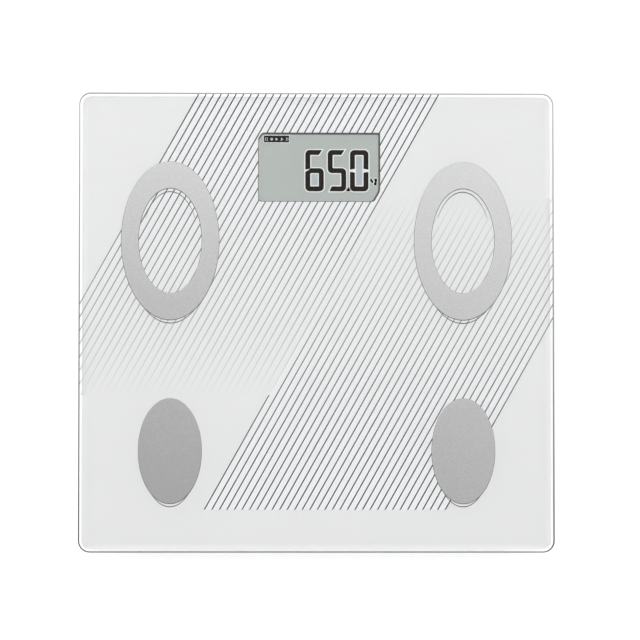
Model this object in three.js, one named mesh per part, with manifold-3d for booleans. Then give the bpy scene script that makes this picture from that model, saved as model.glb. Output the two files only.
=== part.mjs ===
// Digital body-composition bathroom scale: a glass platform with four electrodes on a shallow
// plastic tray, four load-cell feet, a display under the glass, and a battery bay underneath.
// Millimetres. +X to the user's right, +Y from the user's heels to the display, +Z up.
// The origin is on the floor, under the middle of the platform.

import * as THREE from "three";
import { mergeVertices } from "three/addons/utils/BufferGeometryUtils.js";
import Module from "manifold-3d";

const wasm = await Module();
wasm.setup();

// ---------------------------------------------------------------- driving dimensions

const GAP = 0.3; // clearance between a moving or inserted piece and its neighbour
const OVER = 1; // how far a cutting solid runs past the face that it opens

const PLATFORM = { width: 310, depth: 300, cornerRadius: 7, thickness: 6, arris: 0.6 };
const FILM = { thickness: 0.3, edgeMargin: 2.2 };
const TAPE = { thickness: 1, rimMargin: 1.2 };

const TRAY = {
  rimInset: 10, // platform edge to the tray's rim
  cornerRadius: 14,
  wall: 2.2,
  floor: 2.5,
  groundClearance: 4.5,
  shoulderHeight: 4, // height of the sloping bottom edge
  shoulderInset: 3.2,
  draft: 0.8,
  footMargin: 1, // sloping wall to a foot's collar
};

const TOE_RING = { width: 63.5, length: 103.2, sideBand: 11, endBand: 17.3 };
const TOE_SIDE_MARGIN = 27.8; // platform side edge to the ring
const TOE_BACK_MARGIN = 45.4; // platform back edge to the ring
const HEEL_PAD = { width: 41, length: 68.4 };
const HEEL_FRONT_MARGIN = 31.8;
const HEEL_STUD_OFFSET = 20; // from the pad's middle towards the display
const ELECTRODE_THICKNESS = 0.5;
const STUD = { radius: 2, belowFilm: 4.6 };
const NUT = { acrossFlats: 7, height: 3.2 };

const WINDOW = { width: 79.8, length: 45.3, cornerRadius: 2.6, backMargin: 26.5, offsetX: 1.7 };
const LCD = { sideMargin: 4.1, endMargin: 3, thickness: 2.8 };
const LCD_FRAME = { wall: 4.2, ledge: 3, ledgeThickness: 2.7, cornerRadius: 2 };
const ZEBRA = { width: 2.4, sideClearance: 4 };
const BOARD = { thickness: 1.6 };
const CHIP = { size: 12, height: 1.4 };
const CONNECTOR = { width: 31, length: 6, height: 3.2 };
const BOARD_SCREW = { radius: 1, length: 3.6, headRadius: 2, headTop: 1.6, headHeight: 1.4 };

const FOOT = { radius: 19.5, height: 4.3, flangeWidth: 2.5, flangeHeight: 1.5, stubRadius: 6 };
const FOOT_PAD = { radius: 17, thickness: 2, recess: 0.8, chamfer: 0.6 };
const PAD_GROOVE = { radius: 11, halfWidth: 1, depth: 0.7 };
const FOOT_TRAVEL_ROOM = 1.7; // pressed foot flange to the load-cell holder
const COLLAR = { wall: 1.8, height: 6 };
const LOAD_CELL = { size: 34, thickness: 2, cornerRadius: 3, frame: 4.5, slot: 1.8, neck: 10 };
const HOLDER = {
  wall: 2.7,
  cornerRadius: 4,
  flexRoom: 2.5,
  lip: 1.5,
  lipHeight: 0.7,
  leadSlot: 4,
};

const CELL = { radius: 5.25, bodyLength: 43.3, chamfer: 0.4, nubRadius: 1.9, nubLength: 1.2 };
const CELL_COUNT = 4;
const CELL_GAP = 0.7;
const CONTACT = { thickness: 0.4, height: 8, endMargin: 0.5, springLength: 2.6, springRadius: 3 };
const CONTACT_TIP = { spring: 0.7, dimple: 0.6 }; // tip radius as a share of the root's
const BAY = { wall: 1.6, roof: 1.2, aheadOfDisplay: 16 };
const DOOR = { thickness: 1.5, ledge: 1.6, hingeRadius: 1.6, pinRadius: 0.8, pinLength: 2.4 };
const RIB = { thickness: 1.5, height: 3, rows: 3 };
const LATCH = { width: 14, tongueThickness: 1, tongueHeight: 5 };
const SCALLOP = { radius: 9, depth: 1, slope: 3 };
const CHEEK = { width: 4, height: 4.5, margin: 1 };

const BUTTON = { radius: 4.5, flangeWidth: 1.5, flangeHeight: 1, recess: 0.4 };
const BUTTON_FACE = { chamfer: 0.4, rim: 1, dish: 0.3 };
const BUTTON_SIDE_OFFSET = 24; // from the display's middle, to the left seen from below
const SWITCH = { size: 6, bodyHeight: 2, plungerRadius: 1.6, plungerReach: 0.7 };
const LEAD = {
  radius: 1.1,
  sides: 8,
  pitch: 3.6, // between two leads at the connector
  laneSpacing: 3, // between two leads as they run side by side behind the bay
  wallClearance: 2.2,
  straightEnd: 3, // where a lead enters the connector squarely
};

// The bends of each kind of lead on its way to its lane behind the battery bay: how far outside
// the bay (or the display's frame), how much further out for each lane, and how far in front of
// the lane (or of the stud or load cell that it starts from).
const ELECTRODE_BENDS = {
  leaveStud: { out: 22, outPerLane: -4, behind: 10 },
  passBay: { out: 9, outPerLane: 5, front: 18 },
  turnIn: { out: 4, outPerLane: 3, front: 5 },
  inLane: 7, // beyond the lead's place at the connector
};
const FRONT_CELL_BENDS = {
  leave: { out: 22 },
  middle: { out: 12 },
  passBay: { out: 9, front: 20 },
  turnIn: { out: 3, front: 5 },
};
const BACK_CELL_BENDS = {
  leave: { out: 15, front: 14 },
  roundFrame: { out: 4, behind: 1.5 },
  turnIn: { out: -10 },
};
const CELL_LEAD = { collarGap: 1, dropRun: 8, inLane: 3 };
const LANE_START = 6; // inside the bay's edge

// ---------------------------------------------------------------- heights, from the floor up

const Z = {};
Z.trayBottom = TRAY.groundClearance;
Z.trayFloor = Z.trayBottom + TRAY.floor;
Z.doorTop = Z.trayBottom + DOOR.thickness;
Z.cellBottom = Z.doorTop + GAP;
Z.cellAxis = Z.cellBottom + CELL.radius;
Z.bayRoof = Z.cellAxis + CELL.radius + GAP;
Z.filmBottom = Z.bayRoof + BAY.roof + GAP;
Z.tapeBottom = Z.filmBottom - TAPE.thickness;
Z.glassBottom = Z.filmBottom + FILM.thickness;
Z.glassTop = Z.glassBottom + PLATFORM.thickness;
Z.electrodeTop = Z.glassTop + ELECTRODE_THICKNESS;
Z.flangeBottom = Z.trayFloor + GAP;
Z.flangeTop = Z.flangeBottom + FOOT.flangeHeight;
Z.holderBottom = Z.flangeTop + FOOT_TRAVEL_ROOM + GAP;
Z.loadCellBottom = Z.holderBottom + HOLDER.lipHeight + GAP;
Z.loadCellTop = Z.loadCellBottom + LOAD_CELL.thickness;
Z.loadCellMiddle = Z.loadCellBottom + LOAD_CELL.thickness / 2;
Z.lcdTop = Z.filmBottom - GAP;
Z.lcdBottom = Z.lcdTop - LCD.thickness;
Z.ledgeTop = Z.lcdBottom - GAP;
Z.boardTop = Z.ledgeTop - LCD_FRAME.ledgeThickness;
Z.boardBottom = Z.boardTop - BOARD.thickness;
Z.switchBottom = Z.boardBottom - SWITCH.bodyHeight;
Z.leadLow = Z.boardBottom - CONNECTOR.height / 2;
Z.leadHigh = Z.glassBottom - FILM.thickness - STUD.belowFilm + LEAD.radius;

// ---------------------------------------------------------------- places in plan

const TRAY_HALF = {
  x: PLATFORM.width / 2 - TRAY.rimInset,
  y: PLATFORM.depth / 2 - TRAY.rimInset,
};
const collarOuter = FOOT.radius + FOOT.flangeWidth + GAP + COLLAR.wall;
const footInset = TRAY.draft + TRAY.shoulderInset + TRAY.wall + TRAY.footMargin + collarOuter;
const FOOT_AT = { x: TRAY_HALF.x - footInset, y: TRAY_HALF.y - footInset };
const TOE_AT = {
  x: PLATFORM.width / 2 - TOE_SIDE_MARGIN - TOE_RING.width / 2,
  y: PLATFORM.depth / 2 - TOE_BACK_MARGIN - TOE_RING.length / 2,
};
const HEEL_AT = { x: TOE_AT.x, y: -PLATFORM.depth / 2 + HEEL_FRONT_MARGIN + HEEL_PAD.length / 2 };
const TOE_STUD_Y = TOE_AT.y - TOE_RING.length / 2 + TOE_RING.endBand / 2;
const HEEL_STUD_Y = HEEL_AT.y + HEEL_STUD_OFFSET;
const WINDOW_AT = {
  x: WINDOW.offsetX,
  y: PLATFORM.depth / 2 - WINDOW.backMargin - WINDOW.length / 2,
};
const LCD_SIZE = {
  x: WINDOW.width + 2 * LCD.sideMargin,
  y: WINDOW.length + 2 * LCD.endMargin,
};
const FRAME_SIZE = {
  x: LCD_SIZE.x + 2 * (GAP + LCD_FRAME.wall),
  y: LCD_SIZE.y + 2 * (GAP + LCD_FRAME.wall),
};
const frameBackMargin = WINDOW.backMargin - LCD.endMargin - GAP - LCD_FRAME.wall;
const RIM_WIDTH = frameBackMargin - TRAY.rimInset - 2 * GAP;
const BOARD_FRONT = WINDOW_AT.y - FRAME_SIZE.y / 2;

const CELL_LENGTH = CELL.bodyLength + CELL.nubLength;
const CELL_PITCH = 2 * CELL.radius + CELL_GAP;
const BAY_HALF_X = CELL_LENGTH / 2 + CONTACT.springLength + CONTACT.thickness;
const BAY_BACK = BOARD_FRONT - BAY.aheadOfDisplay;
const HINGE_Y = BAY_BACK - DOOR.hingeRadius - GAP;
const FIRST_CELL_Y = HINGE_Y - DOOR.hingeRadius - GAP - CELL.radius;
const BAY_FRONT = FIRST_CELL_Y - (CELL_COUNT - 1) * CELL_PITCH - CELL.radius - GAP;
const DOOR_HALF_X = BAY_HALF_X + DOOR.ledge;
const DOOR_FRONT = BAY_FRONT - DOOR.ledge - LATCH.tongueThickness;
const HINGE_Z = Z.trayBottom + DOOR.hingeRadius;

const bayOuterX = DOOR_HALF_X + GAP + CHEEK.width;
const frameOuterX = WINDOW_AT.x + FRAME_SIZE.x / 2;

const BUTTON_AT = { x: WINDOW_AT.x + BUTTON_SIDE_OFFSET, y: WINDOW_AT.y };

// ---------------------------------------------------------------- materials

const LOOK = {
  glass: { color: "#e9efee", roughness: 0.05, metalness: 0, transparent: true, opacity: 0.4 },
  print: { color: "#f0f1f0", roughness: 0.5, metalness: 0 },
  steel: { color: "#b4b2ae", roughness: 0.35, metalness: 1 },
  castSteel: { color: "#8e9296", roughness: 0.45, metalness: 1 },
  abs: { color: "#e4e5e4", roughness: 0.55, metalness: 0 },
  rubber: { color: "#c9cac9", roughness: 0.8, metalness: 0 },
  lcd: { color: "#b8beb8", roughness: 0.3, metalness: 0 },
  board: { color: "#2f6b3c", roughness: 0.5, metalness: 0 },
  black: { color: "#1d1e20", roughness: 0.5, metalness: 0 },
  cell: { color: "#3f6ea8", roughness: 0.35, metalness: 0.3 },
  tape: { color: "#dcdcd8", roughness: 0.9, metalness: 0 },
  lead: { color: "#a33a32", roughness: 0.6, metalness: 0 },
};

const scale = new THREE.Group();
scale.name = "bathroom_scale";

function piece(name, solid, look, x = 0, y = 0, z = 0) {
  const mesh = new THREE.Mesh(asGeometry(solid), new THREE.MeshStandardMaterial(LOOK[look]));
  mesh.name = name;
  mesh.position.set(x, y, z);
  scale.add(mesh);
}

// ---------------------------------------------------------------- solids

function asSolid(geometry) {
  geometry.deleteAttribute("normal");
  geometry.deleteAttribute("uv");
  const merged = mergeVertices(geometry, 1e-4);
  const mesh = new wasm.Mesh({
    numProp: 3,
    vertProperties: new Float32Array(merged.attributes.position.array),
    triVerts: new Uint32Array(merged.index.array),
  });
  return new wasm.Manifold(mesh);
}

function asGeometry(solid) {
  const mesh = solid.getMesh();
  const geometry = new THREE.BufferGeometry();
  geometry.setAttribute("position", new THREE.BufferAttribute(mesh.vertProperties, 3));
  geometry.setIndex(new THREE.BufferAttribute(mesh.triVerts, 1));
  geometry.computeVertexNormals();
  return geometry;
}

const join = (first, ...others) => others.reduce((whole, other) => whole.add(other), first);
const cut = (first, ...others) => others.reduce((whole, other) => whole.subtract(other), first);

function roundedRect(width, length, radius) {
  const x = width / 2;
  const y = length / 2;
  const shape = new THREE.Shape();
  shape.moveTo(x, -y + radius);
  shape.absarc(x - radius, y - radius, radius, 0, Math.PI / 2);
  shape.absarc(-x + radius, y - radius, radius, Math.PI / 2, Math.PI);
  shape.absarc(-x + radius, -y + radius, radius, Math.PI, 1.5 * Math.PI);
  shape.absarc(x - radius, -y + radius, radius, 1.5 * Math.PI, 2 * Math.PI);
  return shape;
}

function ellipse(width, length) {
  const shape = new THREE.Shape();
  shape.absellipse(0, 0, width / 2, length / 2, 0, 2 * Math.PI);
  return shape;
}

// An outline extruded upwards from z = low to z = high.
function prism(shape, low, high, curveSegments = 6) {
  const geometry = new THREE.ExtrudeGeometry(shape, {
    depth: high - low,
    bevelEnabled: false,
    curveSegments,
  });
  geometry.translate(0, 0, low);
  return asSolid(geometry);
}

// A prism whose outline is drawn in by levels[i].inset at height levels[i].z.
function taperedPrism(width, length, radius, levels, curveSegments = 6) {
  const steps = levels.length - 1;
  const geometry = new THREE.ExtrudeGeometry(roundedRect(width, length, radius), {
    depth: steps,
    steps,
    bevelEnabled: false,
    curveSegments,
  });
  const position = geometry.attributes.position;
  for (let i = 0; i < position.count; i += 1) {
    const level = levels[Math.round(position.getZ(i))];
    const x = position.getX(i) * (1 - (2 * level.inset) / width);
    const y = position.getY(i) * (1 - (2 * level.inset) / length);
    position.setXYZ(i, x, y, level.z);
  }
  return asSolid(geometry);
}

function block(width, length, low, high, x = 0, y = 0) {
  const geometry = new THREE.BoxGeometry(width, length, high - low);
  geometry.translate(x, y, (low + high) / 2);
  return asSolid(geometry);
}

// A body of revolution about +Z from [radius, z] points, which start and end on the axis.
function turned(points, segments = 20) {
  const profile = points.map(([radius, z]) => new THREE.Vector2(radius, z));
  const geometry = new THREE.LatheGeometry(profile, segments);
  geometry.rotateX(Math.PI / 2);
  return asSolid(geometry);
}

function disc(radius, low, high, segments = 20) {
  return turned([[0, low], [radius, low], [radius, high], [0, high]], segments);
}

// A round bar along +X, centred on (x, y, z).
function barAlongX(radius, length, x, y, z, segments = 16) {
  const geometry = new THREE.CylinderGeometry(radius, radius, length, segments);
  geometry.rotateZ(Math.PI / 2);
  geometry.translate(x, y, z);
  return asSolid(geometry);
}

// ---------------------------------------------------------------- platform

const electrodeSpots = [-1, 1].flatMap((side) => [
  { x: side * TOE_AT.x, y: TOE_STUD_Y },
  { x: side * HEEL_AT.x, y: HEEL_STUD_Y },
]);

function studHoles(low, high) {
  return electrodeSpots.map(({ x, y }) => disc(STUD.radius + GAP, low, high, 12).translate(x, y, 0));
}

function glassPlatform() {
  const { width, depth, cornerRadius, arris } = PLATFORM;
  const levels = [
    { z: Z.glassBottom, inset: arris },
    { z: Z.glassBottom + arris, inset: 0 },
    { z: Z.glassTop - arris, inset: 0 },
    { z: Z.glassTop, inset: arris },
  ];
  const slab = taperedPrism(width, depth, cornerRadius, levels);
  return cut(slab, ...studHoles(Z.glassBottom - OVER, Z.glassTop + OVER));
}

function printFilm() {
  const outline = roundedRect(
    PLATFORM.width - 2 * FILM.edgeMargin,
    PLATFORM.depth - 2 * FILM.edgeMargin,
    PLATFORM.cornerRadius - FILM.edgeMargin,
  );
  const sheet = prism(outline, Z.filmBottom, Z.glassBottom);
  const opening = roundedRect(WINDOW.width, WINDOW.length, WINDOW.cornerRadius);
  const window = prism(opening, Z.filmBottom - OVER, Z.glassBottom + OVER);
  return cut(
    sheet,
    window.translate(WINDOW_AT.x, WINDOW_AT.y, 0),
    ...studHoles(Z.filmBottom - OVER, Z.glassBottom + OVER),
  );
}

// A flat loop along the tray's rim, from z = low to z = high, drawn in by its two insets.
function rimLoop(outerInset, innerInset, low, high) {
  const outline = (inset) => roundedRect(
    2 * (TRAY_HALF.x - inset),
    2 * (TRAY_HALF.y - inset),
    TRAY.cornerRadius - inset / 2,
  );
  const opening = prism(outline(innerInset), low - OVER, high + OVER);
  return cut(prism(outline(outerInset), low, high), opening);
}

function edgeTape() {
  const { rimMargin } = TAPE;
  return rimLoop(rimMargin, RIM_WIDTH - rimMargin, Z.tapeBottom, Z.filmBottom);
}

// ---------------------------------------------------------------- electrodes

function stud() {
  return disc(STUD.radius, Z.filmBottom - STUD.belowFilm, Z.glassTop + ELECTRODE_THICKNESS / 2, 12);
}

function toeElectrode() {
  const { width, length, sideBand, endBand } = TOE_RING;
  const whole = prism(ellipse(width, length), Z.glassTop, Z.electrodeTop, 24);
  const hole = ellipse(width - 2 * sideBand, length - 2 * endBand);
  const ring = cut(whole, prism(hole, Z.glassTop - OVER, Z.electrodeTop + OVER, 24));
  return join(ring, stud().translate(0, TOE_STUD_Y - TOE_AT.y, 0));
}

function heelElectrode() {
  const pad = prism(ellipse(HEEL_PAD.width, HEEL_PAD.length), Z.glassTop, Z.electrodeTop, 24);
  return join(pad, stud().translate(0, HEEL_STUD_OFFSET, 0));
}

function electrodeNut() {
  const radius = NUT.acrossFlats / Math.sqrt(3);
  const top = Z.filmBottom;
  const body = disc(radius, top - NUT.height, top, 6);
  return cut(body, disc(STUD.radius + GAP, top - NUT.height - OVER, top + OVER, 12));
}

// ---------------------------------------------------------------- tray

function trayShell() {
  const { wall, cornerRadius, draft, shoulderHeight, shoulderInset } = TRAY;
  const x = 2 * TRAY_HALF.x;
  const y = 2 * TRAY_HALF.y;
  const shoulder = Z.trayBottom + shoulderHeight;
  const outer = taperedPrism(x, y, cornerRadius, [
    { z: Z.trayBottom, inset: draft + shoulderInset },
    { z: shoulder, inset: draft },
    { z: Z.tapeBottom, inset: 0 },
  ]);
  const inner = taperedPrism(x, y, cornerRadius, [
    { z: Z.trayFloor, inset: wall + draft + shoulderInset },
    { z: shoulder + wall, inset: wall + draft },
    { z: Z.tapeBottom + OVER, inset: wall },
  ]);
  return cut(outer, inner);
}

// The inward rim that the tape sits on.
function trayRim() {
  return rimLoop(TRAY.wall / 2, RIM_WIDTH, Z.tapeBottom - TRAY.wall, Z.tapeBottom);
}

const corners = [-1, 1].flatMap((sideY) =>
  [-1, 1].map((sideX) => ({
    name: `${sideY < 0 ? "front" : "back"}_${sideX < 0 ? "left" : "right"}`,
    sideX,
    x: sideX * FOOT_AT.x,
    y: sideY * FOOT_AT.y,
  })),
);

function collars() {
  const collar = disc(collarOuter, Z.trayBottom + TRAY.floor / 2, Z.trayBottom + COLLAR.height, 24);
  return corners.map(({ x, y }) => collar.translate(x, y, 0));
}

function footOpenings() {
  const well = collarOuter - COLLAR.wall;
  const hole = disc(FOOT.radius + GAP, Z.trayBottom - OVER, Z.trayFloor + OVER, 24);
  const room = disc(well, Z.trayFloor, Z.trayBottom + COLLAR.height + OVER, 24);
  return corners.map(({ x, y }) => join(hole, room).translate(x, y, 0));
}

function bayWalls() {
  const outerX = 2 * (BAY_HALF_X + BAY.wall);
  const outerY = BAY_BACK - BAY_FRONT + 2 * BAY.wall;
  const middleY = (BAY_BACK + BAY_FRONT) / 2;
  return block(outerX, outerY, Z.trayBottom + DOOR.thickness, Z.bayRoof + BAY.roof, 0, middleY);
}

function hingeCheeks() {
  const top = Z.trayBottom + CHEEK.height;
  const length = 2 * (DOOR.hingeRadius + GAP + CHEEK.margin);
  const x = DOOR_HALF_X + GAP + CHEEK.width / 2;
  return [-1, 1].map((side) => block(CHEEK.width, length, Z.trayBottom, top, side * x, HINGE_Y));
}

function bayHollow() {
  const length = BAY_BACK - BAY_FRONT;
  const middleY = (BAY_BACK + BAY_FRONT) / 2;
  return block(2 * BAY_HALF_X, length, Z.trayBottom - OVER, Z.bayRoof, 0, middleY);
}

// The door's own seat in the tray floor, with room for the hinge barrel to turn.
function doorSeat() {
  const halfX = DOOR_HALF_X + GAP;
  const front = DOOR_FRONT - GAP;
  const seat = block(
    2 * halfX,
    BAY_BACK - front,
    Z.trayBottom - OVER,
    Z.doorTop + GAP,
    0,
    (BAY_BACK + front) / 2,
  );
  const barrelTop = HINGE_Z + DOOR.hingeRadius + GAP;
  const barrelRoom = block(
    2 * halfX,
    2 * (DOOR.hingeRadius + GAP),
    Z.trayBottom - OVER,
    barrelTop,
    0,
    HINGE_Y,
  );
  return join(seat, barrelRoom);
}

function latchSlot() {
  const width = LATCH.width + 2 * GAP;
  const front = DOOR_FRONT - GAP;
  const back = BAY_FRONT + BAY.wall / 2;
  const top = Z.trayBottom + LATCH.tongueHeight + 2 * GAP;
  return block(width, back - front, Z.trayBottom - OVER, top, 0, (front + back) / 2);
}

function latchHousing() {
  const width = LATCH.width + 2 * (GAP + TRAY.wall);
  const length = BAY_FRONT - DOOR_FRONT + TRAY.wall;
  const top = Z.trayBottom + LATCH.tongueHeight + 2 * GAP + BAY.roof;
  return block(width, length, Z.doorTop, top, 0, BAY_FRONT - length / 2);
}

// A shallow dish for a fingertip, in front of the door's latch.
function fingerScallop() {
  const { radius, depth, slope } = SCALLOP;
  const low = Z.trayBottom - OVER;
  const deep = Z.trayBottom + depth;
  const dish = turned(
    [[0, low], [radius, low], [radius, Z.trayBottom], [radius - slope, deep], [0, deep]],
  );
  return dish.translate(0, DOOR_FRONT - GAP, 0);
}

function buttonHole() {
  const hole = disc(BUTTON.radius + GAP, Z.trayBottom - OVER, Z.trayFloor + OVER);
  return hole.translate(BUTTON_AT.x, BUTTON_AT.y, 0);
}

// Ribs on the tray floor in front of the bay, kept between the leads on either side.
function floorRibs() {
  const { thickness, height, rows } = RIB;
  const low = Z.trayBottom + TRAY.floor / 2;
  const top = Z.trayFloor + height;
  const spread = bayOuterX - thickness;
  const fromY = -TRAY_HALF.y + TRAY.wall + TRAY.draft + TRAY.shoulderInset / 2;
  const length = DOOR_FRONT - SCALLOP.radius - fromY;
  const middleY = fromY + length / 2;
  const lengthwise = [-1, 0, 1].map((share) => (
    block(thickness, length, low, top, share * spread, middleY)
  ));
  const crosswise = Array.from({ length: rows }, (_, row) => {
    const y = fromY + (length * (row + 1)) / (rows + 1);
    return block(2 * spread, thickness, low, top, 0, y);
  });
  return [...lengthwise, ...crosswise];
}

function baseHousing() {
  const solid = join(
    trayShell(),
    trayRim(),
    ...collars(),
    bayWalls(),
    ...hingeCheeks(),
    latchHousing(),
    ...floorRibs(),
  );
  const pinHole = barAlongX(
    DOOR.pinRadius + GAP,
    2 * (DOOR_HALF_X + GAP + DOOR.pinLength),
    0,
    HINGE_Y,
    HINGE_Z,
  );
  return cut(
    solid,
    ...footOpenings(),
    bayHollow(),
    doorSeat(),
    latchSlot(),
    fingerScallop(),
    pinHole,
    buttonHole(),
  );
}

// ---------------------------------------------------------------- battery bay

function batteryDoor() {
  const length = HINGE_Y - DOOR_FRONT;
  const plate = block(
    2 * DOOR_HALF_X,
    length,
    Z.trayBottom,
    Z.doorTop,
    0,
    DOOR_FRONT + length / 2,
  );
  const barrel = barAlongX(DOOR.hingeRadius, 2 * DOOR_HALF_X, 0, HINGE_Y, HINGE_Z);
  const pin = barAlongX(
    DOOR.pinRadius,
    2 * (DOOR_HALF_X + DOOR.pinLength),
    0,
    HINGE_Y,
    HINGE_Z,
  );
  const tongue = block(
    LATCH.width,
    LATCH.tongueThickness,
    Z.trayBottom,
    Z.trayBottom + LATCH.tongueHeight,
    0,
    DOOR_FRONT + LATCH.tongueThickness / 2,
  );
  return join(plate, barrel, pin, tongue);
}

// A cell lying along X with its positive nub towards +X.
function batteryCell() {
  const half = CELL_LENGTH / 2;
  const shoulder = half - CELL.nubLength;
  const { radius, chamfer, nubRadius } = CELL;
  const cell = turned(
    [[0, -half], [radius - chamfer, -half], [radius, -half + chamfer],
      [radius, shoulder - chamfer], [radius - chamfer, shoulder],
      [nubRadius, shoulder], [nubRadius, half], [0, half]],
  );
  return cell.rotate([0, 90, 0]);
}

const cellY = (index) => FIRST_CELL_Y - index * CELL_PITCH;
const nubSide = (index) => (index % 2 === 0 ? 1 : -1);

// A contact strip across cells first..last at one end of the bay; side is +1 for the +X end.
// It carries a spring where a cell's flat end meets it, and a dimple where a nub does.
function contactStrip(side, first, last) {
  const { thickness, height, springLength, springRadius } = CONTACT;
  const middleY = (cellY(first) + cellY(last)) / 2;
  const length = cellY(first) - cellY(last) + 2 * (CELL.radius - CONTACT.endMargin);
  const plateX = side * (BAY_HALF_X - thickness / 2);
  const low = Z.cellAxis - height / 2;
  let strip = block(thickness, length, low, low + height, plateX, middleY);
  for (let index = first; index <= last; index += 1) {
    const meetsNub = nubSide(index) === side;
    const reach = springLength - GAP;
    const wide = meetsNub ? CELL.nubRadius : springRadius;
    const narrow = wide * (meetsNub ? CONTACT_TIP.dimple : CONTACT_TIP.spring);
    const root = -thickness / 2;
    const bump = turned([[0, root], [wide, root], [narrow, reach], [0, reach]], 16);
    const aimed = bump.rotate([0, -90 * side, 0]);
    const x = side * (BAY_HALF_X - thickness);
    strip = join(strip, aimed.translate(x, cellY(index), Z.cellAxis));
  }
  return strip;
}

// ---------------------------------------------------------------- display

const frameCentre = (solid) => solid.translate(WINDOW_AT.x, WINDOW_AT.y, 0);

function lcdPanel() {
  return frameCentre(block(LCD_SIZE.x, LCD_SIZE.y, Z.lcdBottom, Z.lcdTop));
}

const boardScrewSpots = [-1, 1].flatMap((sideY) => [-1, 1].map((sideX) => ({
  x: sideX * (FRAME_SIZE.x / 2 - LCD_FRAME.wall / 2),
  y: sideY * (FRAME_SIZE.y / 2 - LCD_FRAME.wall / 2),
})));

function boardScrewHoles(low, high) {
  const hole = disc(BOARD_SCREW.radius + GAP, low, high, 12);
  return boardScrewSpots.map(({ x, y }) => hole.translate(x, y, 0));
}

function frameOutline() {
  return roundedRect(FRAME_SIZE.x, FRAME_SIZE.y, LCD_FRAME.cornerRadius);
}

function lcdFrame() {
  const body = prism(frameOutline(), Z.boardTop, Z.filmBottom);
  const pocket = block(
    LCD_SIZE.x + 2 * GAP,
    LCD_SIZE.y + 2 * GAP,
    Z.ledgeTop,
    Z.filmBottom + OVER,
  );
  const throat = block(
    LCD_SIZE.x - 2 * LCD_FRAME.ledge,
    LCD_SIZE.y - 2 * LCD_FRAME.ledge,
    Z.boardTop - OVER,
    Z.filmBottom,
  );
  const screwTop = Z.boardTop - BOARD.thickness + BOARD_SCREW.length + GAP;
  return frameCentre(cut(body, pocket, throat, ...boardScrewHoles(Z.boardTop - OVER, screwTop)));
}

function zebraStrip() {
  const length = LCD_SIZE.x - 2 * LCD_FRAME.ledge - 2 * ZEBRA.sideClearance;
  const y = LCD_SIZE.y / 2 - LCD_FRAME.ledge - GAP - ZEBRA.width / 2;
  return frameCentre(block(length, ZEBRA.width, Z.boardTop, Z.lcdBottom, 0, y));
}

function circuitBoard() {
  const sheet = prism(frameOutline(), Z.boardBottom, Z.boardTop);
  return frameCentre(cut(sheet, ...boardScrewHoles(Z.boardBottom - OVER, Z.boardTop + OVER)));
}

function boardScrew() {
  const { radius, length, headRadius, headTop, headHeight } = BOARD_SCREW;
  return turned(
    [[0, Z.boardBottom - headHeight], [headTop, Z.boardBottom - headHeight],
      [headRadius, Z.boardBottom - headHeight / 2], [headRadius, Z.boardBottom],
      [radius, Z.boardBottom], [radius, Z.boardBottom + length], [0, Z.boardBottom + length]],
    16,
  );
}

function mainChip() {
  const x = -FRAME_SIZE.x / 4;
  return frameCentre(block(CHIP.size, CHIP.size, Z.boardBottom - CHIP.height, Z.boardBottom, x, 0));
}

function leadConnector() {
  const low = Z.boardBottom - CONNECTOR.height;
  const y = BOARD_FRONT + CONNECTOR.length / 2;
  return block(CONNECTOR.width, CONNECTOR.length, low, Z.boardBottom, 0, y);
}

// ---------------------------------------------------------------- unit button

function switchBody() {
  const body = block(SWITCH.size, SWITCH.size, Z.switchBottom, Z.boardBottom);
  const bore = disc(SWITCH.plungerRadius + GAP, Z.switchBottom - OVER, Z.boardBottom - GAP, 16);
  return cut(body, bore);
}

const buttonTop = Z.flangeBottom + BUTTON.flangeHeight;

function switchPlunger() {
  return disc(SWITCH.plungerRadius, buttonTop, Z.switchBottom + SWITCH.plungerReach, 16);
}

function unitButton() {
  const { radius, flangeWidth, recess } = BUTTON;
  const { chamfer, rim, dish } = BUTTON_FACE;
  const face = Z.trayBottom + recess;
  const flat = radius - chamfer;
  const wide = radius + flangeWidth;
  return turned(
    [[0, face + dish], [flat - rim, face], [flat, face], [radius, face + chamfer],
      [radius, Z.flangeBottom], [wide, Z.flangeBottom], [wide, buttonTop], [0, buttonTop]],
  );
}

// ---------------------------------------------------------------- corner feet

function foot() {
  const { radius, height, flangeWidth, stubRadius } = FOOT;
  const low = FOOT_PAD.thickness;
  const lip = FOOT_PAD.recess;
  const seat = FOOT_PAD.radius + GAP;
  const wide = radius + flangeWidth;
  return turned(
    [[0, low], [seat, low], [seat, low - lip], [radius - lip, low - lip], [radius, low],
      [radius, low + height],
      [radius, Z.flangeBottom], [wide, Z.flangeBottom], [wide, Z.flangeTop],
      [stubRadius, Z.flangeTop], [stubRadius, Z.loadCellBottom], [0, Z.loadCellBottom]],
    24,
  );
}

function footPad() {
  const { radius, thickness, chamfer } = FOOT_PAD;
  const inner = PAD_GROOVE.radius - PAD_GROOVE.halfWidth;
  const outer = PAD_GROOVE.radius + PAD_GROOVE.halfWidth;
  return turned(
    [[0, 0], [inner, 0], [PAD_GROOVE.radius, PAD_GROOVE.depth], [outer, 0],
      [radius - chamfer, 0], [radius, chamfer], [radius, thickness], [0, thickness]],
    24,
  );
}

// A square steel plate with a slot that frees a tongue; the tongue carries the foot.
function loadCell() {
  const { size, thickness, cornerRadius, frame, slot, neck } = LOAD_CELL;
  const plate = prism(roundedRect(size, size, cornerRadius), 0, thickness, 4);
  const hole = size - 2 * frame;
  const tongue = hole - 2 * slot;
  const low = -2 * OVER;
  const high = thickness + 2 * OVER;
  const opening = block(hole, hole, -OVER, thickness + OVER);
  const island = block(tongue, tongue, low, high);
  const bridge = block(neck, slot + 2 * OVER, low, high, 0, (tongue + slot) / 2);
  return cut(plate, cut(opening, island, bridge));
}

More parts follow.
